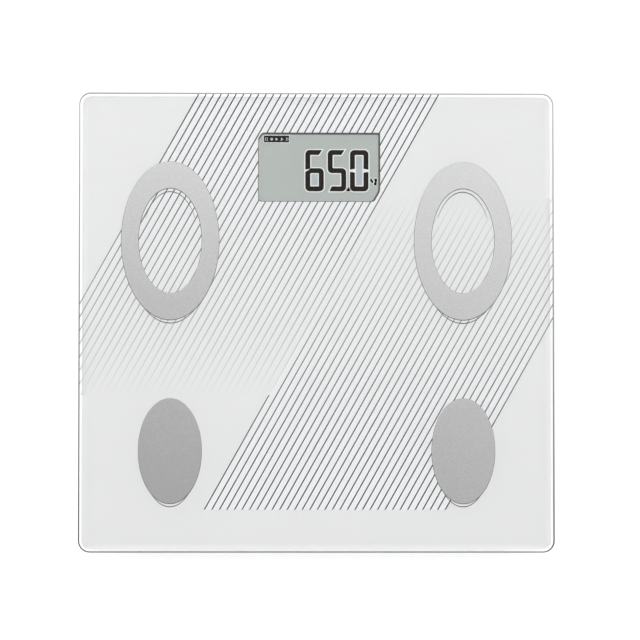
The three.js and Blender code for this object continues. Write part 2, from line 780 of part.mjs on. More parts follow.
function loadCellHolder(sideX) {
  const pocketSize = LOAD_CELL.size + 2 * GAP;
  const size = pocketSize + 2 * HOLDER.wall;
  const body = prism(roundedRect(size, size, HOLDER.cornerRadius), Z.holderBottom, Z.filmBottom, 4);
  const lipTop = Z.holderBottom + HOLDER.lipHeight;
  const pocket = block(pocketSize, pocketSize, lipTop, Z.loadCellTop);
  const mouthLength = pocketSize - 2 * HOLDER.lip;
  const mouth = block(pocketSize, mouthLength, Z.holderBottom - OVER, Z.loadCellTop);
  const flex = LOAD_CELL.size - 2 * LOAD_CELL.frame;
  const flexRoom = block(flex, flex, Z.holderBottom, Z.loadCellTop + HOLDER.flexRoom);
  const slotLength = size / 2;
  const slot = block(
    slotLength,
    HOLDER.leadSlot,
    Z.holderBottom - OVER,
    Z.loadCellMiddle + LEAD.radius + 2 * GAP,
    (-sideX * slotLength) / 2 - sideX * LOAD_CELL.frame,
  );
  return cut(body, pocket, mouth, flexRoom, slot);
}

// ---------------------------------------------------------------- leads inside the tray

function lead(points) {
  const path = new THREE.CatmullRomCurve3(
    points.map(([x, y, z]) => new THREE.Vector3(x, y, z)),
    false,
    "centripetal",
  );
  const section = new THREE.Shape();
  for (let i = 0; i < LEAD.sides; i += 1) {
    const angle = (2 * Math.PI * i) / LEAD.sides;
    const x = LEAD.radius * Math.cos(angle);
    const y = LEAD.radius * Math.sin(angle);
    if (i === 0) section.moveTo(x, y);
    else section.lineTo(x, y);
  }
  const steps = 2 * (points.length - 1);
  return asSolid(new THREE.ExtrudeGeometry(section, { steps, extrudePath: path }));
}

const laneEnd = BOARD_FRONT - GAP;
const laneX = (lane) => LEAD.pitch * (lane + 0.5);
const laneY = (lane) => (
  BAY_BACK + BAY.wall + LEAD.radius + LEAD.wallClearance + lane * LEAD.laneSpacing
);

// The last stretch of a lead, into the connector at the height of its middle.
function connectorEnd(side, lane) {
  const x = side * laneX(lane);
  return [[x, laneEnd - LEAD.straightEnd, Z.leadLow], [x, laneEnd, Z.leadLow]];
}

function electrodeLead(side, stud, lane) {
  const start = side * (TOE_AT.x - NUT.acrossFlats / Math.sqrt(3) - GAP);
  const turnY = laneY(lane);
  const high = Z.leadHigh;
  const { leaveStud, passBay, turnIn, inLane } = ELECTRODE_BENDS;
  const beside = (bend) => bayOuterX + bend.out + lane * bend.outPerLane;
  return lead([
    [start, stud, high],
    [side * beside(leaveStud), stud + leaveStud.behind, high],
    [side * beside(passBay), turnY - passBay.front, high],
    [side * beside(turnIn), turnY - turnIn.front, high],
    [side * (bayOuterX - LANE_START), turnY, high],
    [side * (laneX(lane) + inLane), turnY, high],
    ...connectorEnd(side, lane),
  ]);
}

function loadCellLead(side, corner, lane) {
  const start = side * (FOOT_AT.x - LOAD_CELL.size / 2 - GAP);
  const besideCollar = FOOT_AT.x - collarOuter - CELL_LEAD.collarGap;
  const turnY = laneY(lane - 1);
  const front = FRONT_CELL_BENDS;
  const fromFront = [
    [bayOuterX + front.leave.out, corner.y / 2],
    [bayOuterX + front.middle.out, 0],
    [bayOuterX + front.passBay.out, turnY - front.passBay.front],
    [bayOuterX + front.turnIn.out, turnY - front.turnIn.front],
  ];
  const back = BACK_CELL_BENDS;
  const fromBack = [
    [frameOuterX + back.leave.out, corner.y - back.leave.front],
    [frameOuterX + back.roundFrame.out, turnY + back.roundFrame.behind],
    [frameOuterX + back.turnIn.out, turnY],
  ];
  const approach = (corner.y < 0 ? fromFront : fromBack).map(([x, y]) => [side * x, y, Z.leadLow]);
  return lead([
    [start, corner.y, Z.loadCellMiddle],
    [side * besideCollar, corner.y, Z.loadCellMiddle],
    [side * (besideCollar - CELL_LEAD.dropRun), corner.y, Z.leadLow],
    ...approach,
    [side * (bayOuterX - LANE_START), turnY, Z.leadLow],
    [side * (laneX(lane) + CELL_LEAD.inLane), turnY, Z.leadLow],
    ...connectorEnd(side, lane),
  ]);
}

// ---------------------------------------------------------------- assembly

piece("glass_platform", glassPlatform(), "glass");
piece("print_film", printFilm(), "print");
piece("edge_tape", edgeTape(), "tape");
piece("base_housing", baseHousing(), "abs");

for (const side of [-1, 1]) {
  const hand = side < 0 ? "left" : "right";
  piece(`toe_electrode_${hand}`, toeElectrode(), "steel", side * TOE_AT.x, TOE_AT.y);
  piece(`heel_electrode_${hand}`, heelElectrode(), "steel", side * HEEL_AT.x, HEEL_AT.y);
  piece(`toe_electrode_nut_${hand}`, electrodeNut(), "steel", side * TOE_AT.x, TOE_STUD_Y);
  piece(`heel_electrode_nut_${hand}`, electrodeNut(), "steel", side * HEEL_AT.x, HEEL_STUD_Y);
  piece(`toe_electrode_lead_${hand}`, electrodeLead(side, TOE_STUD_Y, 1), "lead");
  piece(`heel_electrode_lead_${hand}`, electrodeLead(side, HEEL_STUD_Y, 0), "lead");
}

for (const corner of corners) {
  const { name, sideX, x, y } = corner;
  const lane = y < 0 ? 2 : 3;
  piece(`foot_${name}`, foot(), "abs", x, y);
  piece(`foot_pad_${name}`, footPad(), "rubber", x, y);
  piece(`load_cell_${name}`, loadCell(), "castSteel", x, y, Z.loadCellBottom);
  piece(`load_cell_holder_${name}`, loadCellHolder(sideX), "abs", x, y);
  piece(`load_cell_lead_${name}`, loadCellLead(sideX, corner, lane), "lead");
}

piece("battery_door", batteryDoor(), "abs");
for (let index = 0; index < CELL_COUNT; index += 1) {
  const cell = nubSide(index) > 0 ? batteryCell() : batteryCell().rotate([0, 0, 180]);
  piece(`battery_${index + 1}`, cell, "cell", 0, cellY(index), Z.cellAxis);
}
piece("battery_contact_plus", contactStrip(1, 0, 0), "steel");
piece("battery_contact_minus", contactStrip(1, CELL_COUNT - 1, CELL_COUNT - 1), "steel");
piece("battery_link_left_back", contactStrip(-1, 0, 1), "steel");
piece("battery_link_right", contactStrip(1, 1, 2), "steel");
piece("battery_link_left_front", contactStrip(-1, 2, 3), "steel");

piece("lcd_panel", lcdPanel(), "lcd");
piece("lcd_frame", lcdFrame(), "abs");
piece("zebra_strip", zebraStrip(), "black");
piece("circuit_board", circuitBoard(), "board");
piece("main_chip", mainChip(), "black");
piece("lead_connector", leadConnector(), "print");
boardScrewSpots.forEach(({ x, y }, index) => {
  piece(`board_screw_${index + 1}`, boardScrew(), "steel", WINDOW_AT.x + x, WINDOW_AT.y + y);
});
piece("unit_switch", switchBody(), "black", BUTTON_AT.x, BUTTON_AT.y);
piece("unit_switch_plunger", switchPlunger(), "black", BUTTON_AT.x, BUTTON_AT.y);
piece("unit_button", unitButton(), "abs", BUTTON_AT.x, BUTTON_AT.y);

export default scale;
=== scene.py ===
import math

import bmesh
import bpy
from mathutils import Matrix, Vector


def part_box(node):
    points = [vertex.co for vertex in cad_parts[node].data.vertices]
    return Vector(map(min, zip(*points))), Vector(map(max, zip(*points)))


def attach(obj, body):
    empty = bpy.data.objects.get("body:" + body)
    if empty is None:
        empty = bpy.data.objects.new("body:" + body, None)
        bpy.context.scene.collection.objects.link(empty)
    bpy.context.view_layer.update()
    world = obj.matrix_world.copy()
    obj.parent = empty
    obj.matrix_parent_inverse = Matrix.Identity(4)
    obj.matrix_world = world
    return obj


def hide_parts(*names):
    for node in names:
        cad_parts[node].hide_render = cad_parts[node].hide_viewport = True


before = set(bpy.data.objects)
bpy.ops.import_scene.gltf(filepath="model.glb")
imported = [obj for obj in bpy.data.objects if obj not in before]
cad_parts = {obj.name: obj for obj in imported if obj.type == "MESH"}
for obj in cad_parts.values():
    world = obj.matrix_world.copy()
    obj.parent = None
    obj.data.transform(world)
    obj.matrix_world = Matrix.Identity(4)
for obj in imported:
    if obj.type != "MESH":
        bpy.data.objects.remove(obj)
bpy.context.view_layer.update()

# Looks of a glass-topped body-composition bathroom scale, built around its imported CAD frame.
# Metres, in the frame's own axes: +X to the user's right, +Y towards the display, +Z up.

MM = 0.001

# ---------------------------------------------------------------- sizes that the frame doesn't give

GLASS_CORNER = 7.6 * MM
GROUND_EDGE = 0.75 * MM  # width of the ground arris, seen from above
FILM_CORNER = 5.6 * MM
FILM_TOP_GAP = 0.06 * MM  # room above the paint for the printed lines
INK_THICKNESS = 0.03 * MM
INK_MARGIN = 0.5 * MM  # glass edge to the ends of the printed lines
EDGE_GLOW_WIDTH = 4 * MM  # the print is painted whitest at the film's edge, as a painted glow of light, and settles over this width

WINDOW_SIZE = (79.8 * MM, 45.3 * MM)
WINDOW_SHIFT = 0.7 * MM  # from the middle of the display panel
WINDOW_CHAMFER = (2.6 * MM, 3.8 * MM)  # at the back left corner
WINDOW_SWEEP = (3.9 * MM, 7.0 * MM)  # of the long curve at the front right corner
WINDOW_RADII = (2.4 * MM, 3 * MM, 8 * MM, 1.1 * MM, 2.5 * MM, 3 * MM)  # anticlockwise from front left
GASKET_AND_SHADOW_SHOWS = (0.3 * MM, 1.15 * MM, 0.35 * MM, 1.2 * MM)  # left, right, front, back; wider at the right and back as painted shadow of the window's recess

STUD_RADIUS = 2 * MM
STUD_HOLE_RADIUS = 2.3 * MM
TOE_BANDS = (11 * MM, 17.3 * MM)  # ring width at its sides and at its ends
ELECTRODE_EDGE = 0.2 * MM  # radius of the electrodes' rounded edges
ADHESIVE_AND_SHADOW_SHOWS = 0.28 * MM  # dark rim round an electrode, on average: adhesive, with painted shadow where it shows more in front
ADHESIVE_SHADOW_DROP = 0.14 * MM  # how much more of the dark rim shows in front than behind: painted shadow
ADHESIVE_THICKNESS = 0.05 * MM
ARC_DROP = 2.0 * MM  # from an electrode's front edge to the painted shadow arc in front of it
ARC_WIDTH = 0.65 * MM
ARC_NARROWING = 0.9  # the arc's width as a share of the electrode's
ARC_SWEEP = 120  # degrees

LINE_PITCH = 4.27 * MM  # square to the lines
LINE_WIDTH = 0.76 * MM
LINE_CLEARANCE = 0.16 * MM  # bare film beside a line
LINE_ANGLE = math.radians(60.62)
LINE_MIDDLE = -3.7 * MM  # the line that both bands share, square to the lines from the origin
UPPER_LINES = 32  # on the left of the shared line, fading towards the user
LOWER_LINES = 32  # on its right, fading towards the display
LOWER_BAND_FRONT = -122.1 * MM
UPPER_FADE = (-47.5 * MM, 147.8 * MM)  # y where the upper band is gone, and where it is darkest
LOWER_FADE = (81.4 * MM, -122.1 * MM)

DIGIT_HEIGHT = 27.1 * MM
DIGIT_WIDTH = 12.1 * MM
DIGIT_STROKE = 3.25 * MM
DIGIT_CORNER = 2.9 * MM
DIGIT_FRONT = 85.75 * MM  # y of the digits' feet
SIX_LEFT = -7.35 * MM
FIVE_LEFT = 7.3 * MM
ZERO_LEFT = 21.85 * MM
HALO = 0.7 * MM  # width of the brighter edge round the lit segments
LCD_LAYER = 0.02 * MM
LCD_LAYER_STEP = 1.5 * LCD_LAYER
LCD_CORNER = 0.8 * MM
LCD_EDGE = 0.2 * MM
GASKET_OVERLAP = (2 * MM, 1.5 * MM)  # of the film, beside the window
GASKET_CORNER = 2 * MM
GASKET_ABOVE_LCD = 0.14 * MM
GASKET_BELOW_FILM = 0.02 * MM

# The small display marks are drawn in millimetres.
LEGEND_KINDS = ("bars", "disc", "bowl", "arrow", "bars")
LEGEND_LEFT = -34.4
LEGEND_FRONT = 117.8
LEGEND_PITCH = 3.38
LEGEND_BLOCK = (3.05, 4.4)
DECIMAL_POINT = [(19.1, 85.75), (22.2, 85.75), (20.8, 88.8)]
SIDE_TICK = [(34.9, 92.6), (36.7, 90.9), (37.2, 92.2), (35.5, 94.9)]
SIDE_HOOK = [(37.4, 89.9), (39.1, 89.5), (39.7, 94.0), (37.7, 94.3), (38.0, 91.5), (37.5, 91.3)]

CAMERA_DISTANCE = 3.0
CAMERA_TILT = math.radians(3.2)  # towards the user
CAMERA_LEAN = math.radians(1.5)  # towards the left
FRAME_WIDTH = 416.8 * MM  # what the picture spans at the platform
AIM = Vector((2.15 * MM, 1.3 * MM, 0))

SKY_TONES = ((0.0, 0.92), (0.3, 1.0), (0.92, 1.0), (0.975, 0.25))  # height, brightness
SKY_STRENGTH = 1.1
DIM_SIDE = (0.45, -0.89, 0)  # towards the room's darker corner
DIM_TONE = 0.5
KEY_LAMP = {"place_at": (-0.45, 0.8, 1.35), "size": 1.1, "power": 4.2}
FILL_LAMP = {"place_at": (1.0, 0.3, 1.3), "size": 1.4, "power": 3}
FLOOR_HALF = 12.0  # so wide that its edge is hardly seen
FLOOR_DROP = 0.1 * MM  # below the feet
FLOOR_GLOW = 0.3


def middle(node):
    low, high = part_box(node)
    return (low + high) / 2


GLASS_LOW, GLASS_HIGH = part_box("glass_platform")
FILM_LOW, FILM_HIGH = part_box("print_film")
FILM_MARGIN = GLASS_HIGH.x - FILM_HIGH.x
LCD_LOW, LCD_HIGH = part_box("lcd_panel")
WINDOW_MIDDLE = middle("lcd_panel") + Vector((0, WINDOW_SHIFT, 0))


# ---------------------------------------------------------------- camera, lights and floor


def make_world():
    """A white room with a dark patch overhead, where the camera stands, and one darker corner."""
    world = bpy.data.worlds.new("studio")
    bpy.context.scene.world = world
    world.use_nodes = True
    direction = add_node(world, "ShaderNodeTexCoord").outputs["Generated"]
    axes = add_node(world, "ShaderNodeSeparateXYZ")
    link(world, direction, axes.inputs[0])
    tones = [(height, (tone,) * 3) for height, tone in SKY_TONES]
    sky = ramp(world, axes.outputs["Z"], tones)
    towards = add_node(world, "ShaderNodeVectorMath", operation="DOT_PRODUCT")
    link(world, direction, towards.inputs[0])
    towards.inputs[1].default_value = DIM_SIDE
    side = ramp(world, towards.outputs["Value"], [(0.2, (1,) * 3), (0.8, (DIM_TONE,) * 3)])
    both = combined(world, "ShaderNodeVectorMath", "MULTIPLY", sky, side)
    background = world.node_tree.nodes["Background"]
    background.inputs["Strength"].default_value = SKY_STRENGTH
    link(world, both, background.inputs["Color"])


def make_camera():
    """A long lens almost straight above the platform, a little towards the user and the left."""
    data = bpy.data.cameras.new("camera")
    data.lens = data.sensor_width * CAMERA_DISTANCE / FRAME_WIDTH
    data.clip_end = 20
    camera = bpy.data.objects.new("camera", data)
    bpy.context.scene.collection.objects.link(camera)
    aim = AIM + Vector((0, 0, GLASS_HIGH.z))
    back = Vector((-math.tan(CAMERA_LEAN), -math.tan(CAMERA_TILT), 1)).normalized()
    right = Vector((0, 1, 0)).cross(back).normalized()
    turn = Matrix((right, back.cross(right), back)).transposed().to_4x4()
    camera.matrix_world = Matrix.Translation(aim + back * CAMERA_DISTANCE) @ turn
    bpy.context.scene.camera = camera


def area_light(name, place_at, size, power):
    """A square softbox aimed at the middle of the floor."""
    data = bpy.data.lights.new(name, "AREA")
    data.shape = "SQUARE"
    data.size = size
    data.energy = power
    light = bpy.data.objects.new(name, data)
    light.location = place_at
    light.rotation_mode = "QUATERNION"
    light.rotation_quaternion = Vector(place_at).to_track_quat("Z", "Y")
    bpy.context.scene.collection.objects.link(light)


def make_floor():
    """White paper that glows a little, as an evenly lit backdrop does."""
    half = FLOOR_HALF
    corners = [(-half, -half, 0), (half, -half, 0), (half, half, 0), (-half, half, 0)]
    mesh = bpy.data.meshes.new("floor")
    mesh.from_pydata(corners, [], [(0, 1, 2, 3)])
    floor = bpy.data.objects.new("floor", mesh)
    floor.location.z = -FLOOR_DROP
    bpy.context.scene.collection.objects.link(floor)
    material = new_material("floor_paper", (0.9, 0.9, 0.9), 0.8)
    shader = material.node_tree.nodes["Principled BSDF"]
    shader.inputs["Emission Color"].default_value = (1, 1, 1, 1)
    shader.inputs["Emission Strength"].default_value = FLOOR_GLOW
    mesh.materials.append(material)


# ---------------------------------------------------------------- materials

def srgb(red, green, blue):
    """Scene-linear colour of an sRGB colour given from 0 to 255."""
    def linear(value):
        share = value / 255
        return share / 12.92 if share <= 0.04045 else ((share + 0.055) / 1.055) ** 2.4
    return (linear(red), linear(green), linear(blue))


# Colours, and the tones between which a material varies across the platform; the slopes of the steel
# and the ground edge are painted reflection and shade.
# The steel's own tone, spread into painted reflection and shade across the platform
STEEL_TONES_AND_SHADE = ((0.5, 0.497, 0.496), (0.81, 0.812, 0.82))
STEEL_SHADE_SLOPE = (1.2, 2.9, 0)  # painted reflection and shade: change in tone per metre along X and Y
STEEL_MIDDLE = 0.44

PAINT = srgb(239, 239, 239)
# painted glow of light along the film's edge, from white to the plain print
EDGE_GLOW_TONES = ((1, 1, 1), srgb(250, 250, 250))
INK = srgb(48, 48, 50)
WHITE_INK = srgb(248, 248, 250)

# The ground arris's grey, with painted shade: lighter at the back, darkest at the front
EDGE_TONES_AND_SHADE = (srgb(200, 202, 201), srgb(114, 118, 117), srgb(36, 37, 38))
EDGE_SHADE_SLOPE = (-0.6, -2.4, 0)  # painted shade: change in tone per metre along X and Y

SLEEVE = srgb(52, 84, 130)
SLEEVE_BAND = srgb(206, 166, 84)
BARE_END = srgb(196, 196, 192)
# Share of a cell's length from its minus end, and the colour that starts there.
CELL_BANDS = [(0, BARE_END), (0.012, SLEEVE), (0.76, SLEEVE_BAND), (0.97, BARE_END)]


def new_material(name, colour, roughness, metallic=0.0):
    """A plain Principled material, for the functions below to add detail to."""
    material = bpy.data.materials.new(name)
    material.use_nodes = True
    shader = material.node_tree.nodes["Principled BSDF"]
    shader.inputs["Base Color"].default_value = (*colour, 1)
    shader.inputs["Roughness"].default_value = roughness
    shader.inputs["Metallic"].default_value = metallic
    return material


def add_node(material, kind, **settings):
    """A new node of a material or the world, with its inputs and properties set by name."""
    node = material.node_tree.nodes.new(kind)
    for name, value in settings.items():
        if name in node.inputs:
            node.inputs[name].default_value = value
        else:
            setattr(node, name, value)
    return node


def link(material, source, target):
    material.node_tree.links.new(source, target)


def object_place(material):
    """The shaded point, in metres in its object's own axes."""
    return add_node(material, "ShaderNodeTexCoord").outputs["Object"]


def object_axes(material):
    axes = add_node(material, "ShaderNodeSeparateXYZ")
    link(material, object_place(material), axes.inputs[0])
    return axes


def colour_from(material, colour):
    """Lets a node's output colour the surface."""
    link(material, colour, material.node_tree.nodes["Principled BSDF"].inputs["Base Color"])


def combined(material, kind, operation, first, second):
    """The output of a node that works on two others' outputs."""
    node = add_node(material, kind, operation=operation)
    link(material, first, node.inputs[0])
    link(material, second, node.inputs[1])
    return node.outputs[0]


def noise(material, scale, detail=3.0):
    """A noise texture's factor, with scale in features per metre."""
    texture = add_node(material, "ShaderNodeTexNoise", Scale=scale, Detail=detail)
    link(material, object_place(material), texture.inputs["Vector"])
    return texture.outputs["Fac"]


def ramp(material, source, stops, sharp=False):
    """A colour ramp of (position, colour) stops, with sharp or soft changes between them."""
    node = add_node(material, "ShaderNodeValToRGB")
    node.color_ramp.interpolation = "CONSTANT" if sharp else "LINEAR"
    link(material, source, node.inputs["Fac"])
    elements = node.color_ramp.elements
    for position, colour in stops[2:]:
        elements.new(position)
    for element, (position, colour) in zip(elements, stops):
        element.position = position
        element.color = (*colour, 1)
    return node.outputs["Color"]


def spread(material, source, low, high):
    """A factor from 0 to 1, spread from low to high."""
    node = add_node(material, "ShaderNodeMapRange")
    node.inputs["To Min"].default_value = low
    node.inputs["To Max"].default_value = high
    link(material, source, node.inputs["Value"])
    return node.outputs["Result"]


def share_of(material, source, start, end):
    """How far a value is on its way from start to end, from 0 to 1."""
    node = add_node(material, "ShaderNodeMapRange")
    node.inputs["From Min"].default_value = start
    node.inputs["From Max"].default_value = end
    link(material, source, node.inputs["Value"])
    return node.outputs["Result"]


def textured(name, colour, roughness, grain, bump, metallic=0.0, mottle=0.04, shine=0.5):
    """A material whose colour, roughness and surface vary with one grain, in features per metre."""
    material = new_material(name, colour, roughness, metallic)
    shader = material.node_tree.nodes["Principled BSDF"]
    shader.inputs["Specular IOR Level"].default_value = shine
    fine = noise(material, grain)
    broad = noise(material, grain / 25)
    dark = tuple(value * (1 - mottle) for value in colour)
    light = tuple(min(value * (1 + mottle), 1) for value in colour)
    colour_from(material, ramp(material, broad, [(0.3, dark), (0.7, light)]))
    rough = spread(material, fine, roughness * 0.85, min(roughness * 1.15, 1))
    link(material, rough, shader.inputs["Roughness"])
    if bump:
        relief = add_node(material, "ShaderNodeBump", Distance=bump, Strength=0.6)
        link(material, fine, relief.inputs["Height"])
        link(material, relief.outputs["Normal"], shader.inputs["Normal"])
    return material


def glass_material():
    """Clear float glass with a faint green tint. Lamps shine straight through it."""
    material = new_material("float_glass", (0.99, 0.993, 0.992), 0.0)
    shader = material.node_tree.nodes["Principled BSDF"]
    shader.inputs["Transmission Weight"].default_value = 1
    shader.inputs["IOR"].default_value = 1.5
    clear = add_node(material, "ShaderNodeBsdfTransparent")
    clear.inputs["Color"].default_value = (0.96, 0.963, 0.962, 1)
    rays = add_node(material, "ShaderNodeLightPath")
    mix = add_node(material, "ShaderNodeMixShader")
    link(material, rays.outputs["Is Shadow Ray"], mix.inputs[0])
    link(material, shader.outputs["BSDF"], mix.inputs[1])
    link(material, clear.outputs["BSDF"], mix.inputs[2])
    link(material, mix.outputs["Shader"], material.node_tree.nodes["Material Output"].inputs[0])
    return material


def mixed_tones(ink, steps=6, gamma=2.2):
    """Ramp stops from paint to ink that look evenly spaced."""
    stops = []
    for i in range(steps):
        share = i / (steps - 1)
        tone = tuple(
            (light ** (1 / gamma) * (1 - share) + dark ** (1 / gamma) * share) ** gamma
            for light, dark in zip(PAINT, ink)
        )
        stops.append((share, tone))
    return stops


def ink_material(name, ink, fade):
    """Ink that is strongest at fade[1] along Y and has faded into the paint at fade[0]."""
    material = new_material(name, ink, 0.45)
    shader = material.node_tree.nodes["Principled BSDF"]
    shader.inputs["Specular IOR Level"].default_value = 0.1
    along = share_of(material, object_axes(material).outputs["Y"], *fade)
    colour_from(material, ramp(material, along, mixed_tones(ink)))
    return material


def paint_material():
    """White back print, with a painted glow of light along the film's edge, where light comes in from
    the side.
    """
    material = textured("back_print", PAINT, 0.4, 900, 0, mottle=0.006)
    share = share_of(material, distance_from_edge(material), 0, EDGE_GLOW_WIDTH)
    grain = spread(material, noise(material, 40), -0.02, 0.02)
    tone = combined(material, "ShaderNodeMath", "ADD", share, grain)
    stops = list(zip((0, 0.35, 1), (*EDGE_GLOW_TONES, PAINT)))
    colour_from(material, ramp(material, tone, stops))
    return material


def distance_from_edge(material):
    """The distance from the film's nearest straight edge."""
    outwards = add_node(material, "ShaderNodeVectorMath", operation="ABSOLUTE")
    link(material, object_place(material), outwards.inputs[0])
    inwards = add_node(material, "ShaderNodeVectorMath", operation="SUBTRACT")
    inwards.inputs[0].default_value = (FILM_HIGH.x, FILM_HIGH.y, 0)
    link(material, outwards.outputs["Vector"], inwards.inputs[1])
    axes = add_node(material, "ShaderNodeSeparateXYZ")
    link(material, inwards.outputs["Vector"], axes.inputs[0])
    return combined(material, "ShaderNodeMath", "MINIMUM", axes.outputs["X"], axes.outputs["Y"])


def across_platform(material, slope, centre, grain, amount):
    """A tone from 0 to 1 that changes steadily along slope, per metre, with some grain in it."""
    across = add_node(material, "ShaderNodeVectorMath", operation="DOT_PRODUCT")
    link(material, object_place(material), across.inputs[0])
    across.inputs[1].default_value = slope
    fleck = spread(material, noise(material, grain, detail=4), centre - amount, centre + amount)
    return combined(material, "ShaderNodeMath", "ADD", across.outputs["Value"], fleck)


def ground_edge_material():
    """Ground glass, with painted shade that makes it lighter along the back of the platform and darker
    towards the front left.
    """
    material = textured("ground_glass_edge", EDGE_TONES_AND_SHADE[0], 0.5, 3000, 0)
    tone = across_platform(material, EDGE_SHADE_SLOPE, 0.5, 1500, 0.05)
    stops = list(zip((0, 0.6, 1), EDGE_TONES_AND_SHADE))
    colour_from(material, ramp(material, tone, stops))
    return material


def cell_material(name, plus):
    """A dry cell's printed sleeve, with its gold band at the plus end: 1 at the right, -1 left."""
    material = textured(name, SLEEVE, 0.3, 500, 0, metallic=0.3)
    low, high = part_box("battery_1")
    minus_end, plus_end = (low.x, high.x) if plus > 0 else (high.x, low.x)
    along = share_of(material, object_axes(material).outputs["X"], minus_end, plus_end)
    colour_from(material, ramp(material, along, CELL_BANDS, sharp=True))
    return material


def electrode_material():
    """Fine blasted stainless steel, with painted reflection and shade that make it a little brighter
    towards the back right.
    """
    material = textured("blasted_stainless", STEEL_TONES_AND_SHADE[0], 0.4, 9000, 0.004 * MM, metallic=1.0)
    tone = across_platform(material, STEEL_SHADE_SLOPE, STEEL_MIDDLE, 1400, 0.4)
    colour_from(material, ramp(material, tone, list(enumerate(STEEL_TONES_AND_SHADE))))
    return material


def board_material():
    """Green solder mask with the faint relief of copper tracks under it."""
    material = new_material("solder_mask", (0.02, 0.16, 0.06), 0.35)
    shader = material.node_tree.nodes["Principled BSDF"]
    tracks = add_node(material, "ShaderNodeTexBrick", Scale=160.0)
    tracks.inputs["Mortar Size"].default_value = 0.06
    link(material, object_place(material), tracks.inputs["Vector"])
    stops = [(0.2, (0.018, 0.15, 0.055)), (0.8, (0.04, 0.27, 0.1))]
    colour_from(material, ramp(material, tracks.outputs["Fac"], stops))
    relief = add_node(material, "ShaderNodeBump", Distance=0.03 * MM, Strength=0.5)
    link(material, tracks.outputs["Fac"], relief.inputs["Height"])
    link(material, relief.outputs["Normal"], shader.inputs["Normal"])
    return material


def make_looks():
    return {
        "glass": glass_material(),
        "paint": paint_material(),
        "ground_edge": ground_edge_material(),
        # dark rim round the electrodes: adhesive, and painted shadow where it shows wider in front
        "adhesive_and_shadow": textured("electrode_adhesive", srgb(96, 97, 98), 0.6, 1500, 0, mottle=0.08),
        "lcd_pane": textured("lcd_pane", srgb(184, 191, 195), 0.3, 700, 0, 0, 0.01),
        "ink_upper": ink_material("line_ink_upper", INK, UPPER_FADE),
        "ink_lower": ink_material("line_ink_lower", INK, LOWER_FADE),
        "white_upper": ink_material("white_ink_upper", WHITE_INK, UPPER_FADE),
        "white_lower": ink_material("white_ink_lower", WHITE_INK, LOWER_FADE),
        # dark arcs under the glass: painted shadow of the electrodes' edges
        "outline": textured("painted_shadow_arc", srgb(96, 97, 98), 0.45, 1200, 0, mottle=0.05),
        "electrode": electrode_material(),
        "zinc": textured("zinc_plate", (0.62, 0.62, 0.6), 0.35, 1500, 0.004 * MM, 1.0, 0.05),
        "spring": textured("nickel_wire", (0.72, 0.7, 0.66), 0.25, 1200, 0, 1.0, 0.03),
        "load_cell": textured("cell_steel", (0.42, 0.43, 0.45), 0.4, 2200, 0.006 * MM, 1.0, 0.08),
        "abs": textured("moulded_plastic", srgb(216, 217, 218), 0.5, 2600, 0.02 * MM, 0, 0.01),
        "smooth_abs": textured("polished_plastic", srgb(210, 212, 213), 0.32, 1800, 0, 0, 0.01),
        "rubber": textured("pad_rubber", srgb(176, 177, 178), 0.75, 1800, 0.02 * MM, 0, 0.05),
        "lcd": textured("lcd_polariser", srgb(184, 190, 186), 0.3, 700, 0, 0, 0.015),
        "lcd_glow": textured("lcd_bright_edge", srgb(240, 243, 242), 0.3, 700, 0, 0, 0.01),
        "segment": textured("lcd_segment", srgb(26, 16, 6), 0.5, 900, 0, 0, 0.1, shine=0.0),
        # dark foam, partly painted shadow of the window's recess
        "gasket_and_shadow": textured("dark_foam_and_shadow", srgb(88, 86, 82), 0.9, 2500, 0.03 * MM, 0, 0.08),
        "tape": textured("white_foam_tape", srgb(222, 222, 218), 0.95, 2500, 0.04 * MM, 0, 0.03),
        "board": board_material(),
        "black": textured("black_plastic", (0.018, 0.018, 0.02), 0.45, 1600, 0.01 * MM, 0, 0.15),
        "sleeve_plus_right": cell_material("cell_sleeve_plus_right", 1),
        "sleeve_plus_left": cell_material("cell_sleeve_plus_left", -1),
        "connector": textured("nylon", srgb(224, 220, 206), 0.5, 1500, 0.01 * MM, 0, 0.03),
        "lead_red": textured("red_insulation", (0.45, 0.03, 0.025), 0.45, 900, 0, 0, 0.08),
        "lead_black": textured("grey_insulation", (0.09, 0.09, 0.095), 0.45, 900, 0, 0, 0.12),
    }


# ---------------------------------------------------------------- mesh tools

def place(obj, body, look, replaces=()):
    """Gives a finished piece its material, its body and the nodes it stands for."""
    for material in look if isinstance(look, (list, tuple)) else [look]:
        obj.data.materials.append(material)
    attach(obj, body)
    if replaces:
        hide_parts(*replaces)
    return obj


def from_bmesh(name, bm, smooth_under=35):
    """An object from a bmesh, smooth but for its flat faces and its edges above an angle."""
    bmesh.ops.recalc_face_normals(bm, faces=bm.faces)
    mesh = bpy.data.meshes.new(name)
    bm.to_mesh(mesh)
    bm.free()
    mesh.set_sharp_from_angle(angle=math.radians(smooth_under))
    for polygon in mesh.polygons:
        polygon.use_smooth = abs(polygon.normal.z) < 0.9999
    obj = bpy.data.objects.new(name, mesh)
    bpy.context.scene.collection.objects.link(obj)
    return obj


def filleted(corners, grow=0.0):
    """An outline through (x, y, radius) corners, given anticlockwise, with its corners rounded.
    It is moved outwards by grow; a clockwise list of corners, for a hole, moves inwards."""
    points = [Vector(corner[:2]) for corner in corners]
    count = len(points)
    directions = [(points[(i + 1) % count] - points[i]).normalized() for i in range(count)]
    outline = []
    for i in range(count):
        before, after = directions[i - 1], directions[i]
        turn = before.cross(after)
        out_before = Vector((before.y, -before.x))
        out_after = Vector((after.y, -after.x))
        spread_by = grow / (1 + out_before.dot(out_after))
        corner = points[i] + (out_before + out_after) * spread_by
        radius = corners[i][2]
        if radius:
            radius = max(radius + (grow if turn > 0 else -grow), 0.02 * MM)
        outline += fillet(corner, before, after, radius)
    return outline


